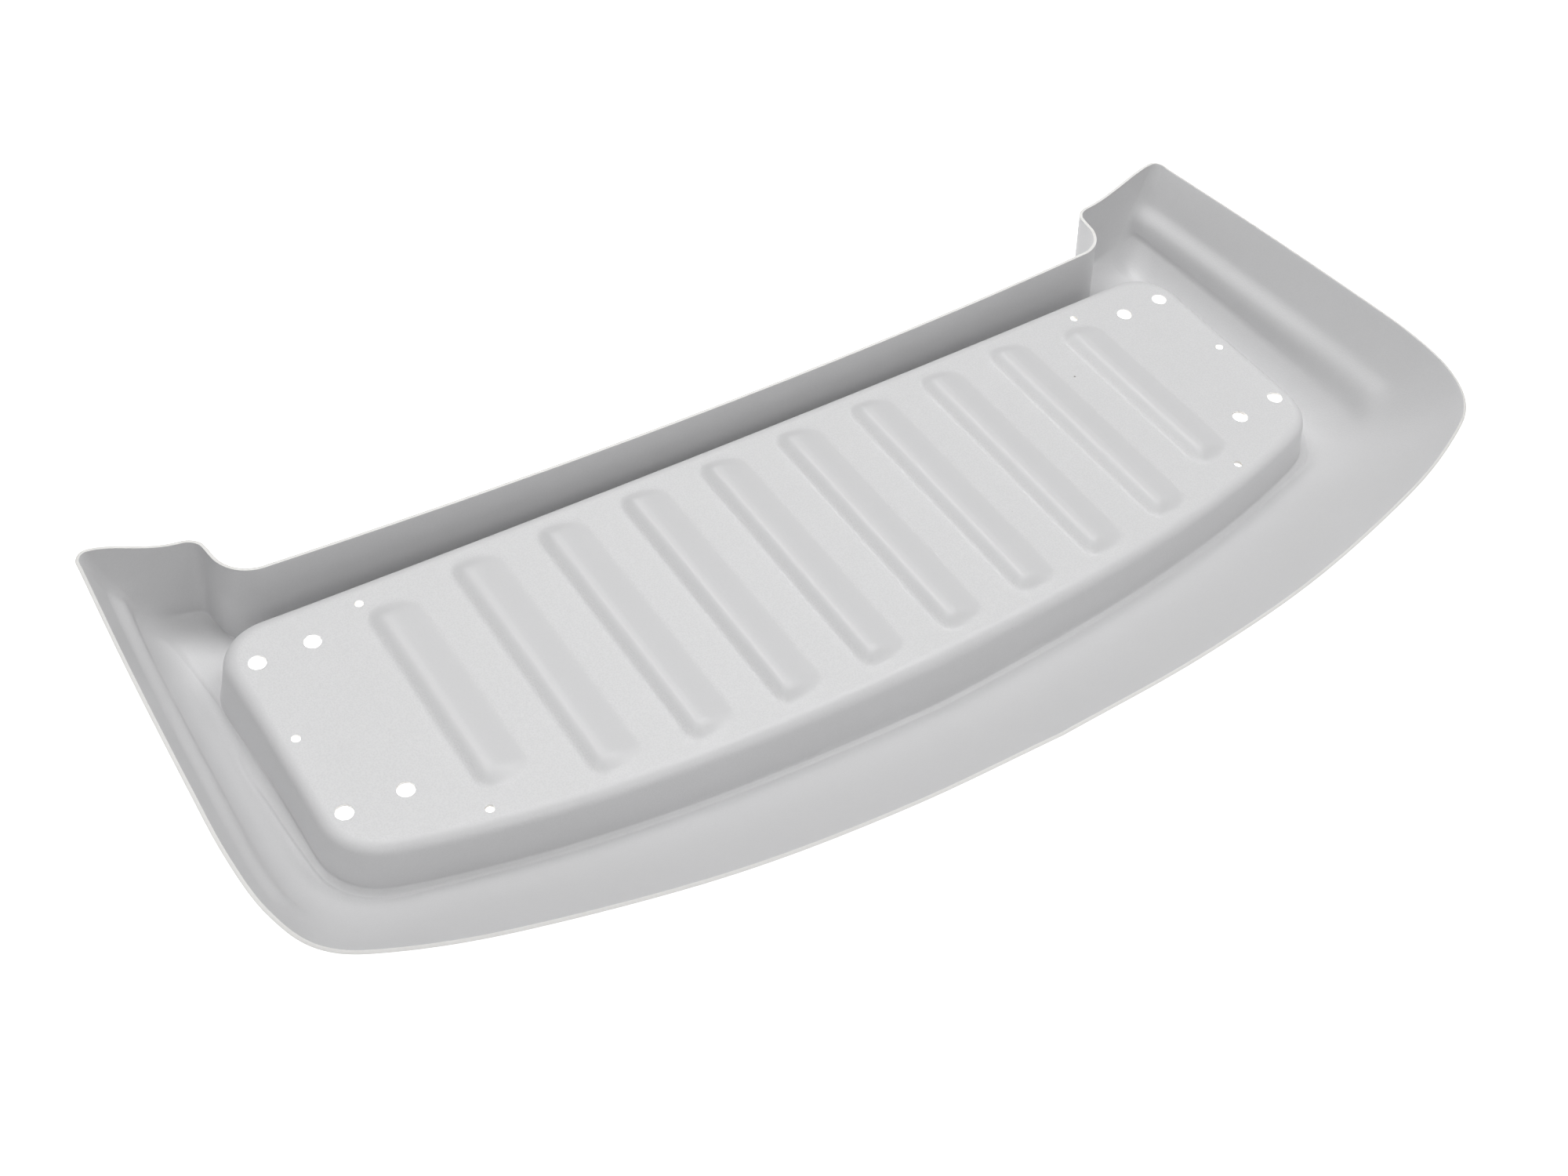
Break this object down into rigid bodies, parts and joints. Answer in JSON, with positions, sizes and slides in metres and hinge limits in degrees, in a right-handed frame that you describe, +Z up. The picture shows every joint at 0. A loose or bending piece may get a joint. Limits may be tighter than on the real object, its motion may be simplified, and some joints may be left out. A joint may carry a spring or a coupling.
{
  "type": "deck tray",
  "caption": "Thermoformed plastic deck tray: a raised ribbed tread with drilled corners inside a high-walled dished rim, stiffened underneath.",
  "frame": {"origin": "middle of the bounding box at its lowest point", "axes": "+X along the tray's width, front of the tray at -Y, +Z up, square to the flat of the deck"},
  "size_m": [0.9798, 0.4586, 0.1219],
  "materials": {
    "abs_sheet": "satin, fine haircell grain",
    "board_ply": "sealed plywood",
    "rear_batten_ply": "sealed plywood",
    "front_batten_ply": "sealed plywood"
  },
  "bodies": {
    "root": {"tray_skin": "abs_sheet", "core_board": "board_ply", "rear_batten": "rear_batten_ply", "front_batten": "front_batten_ply"}
  },
  "joints": []
}
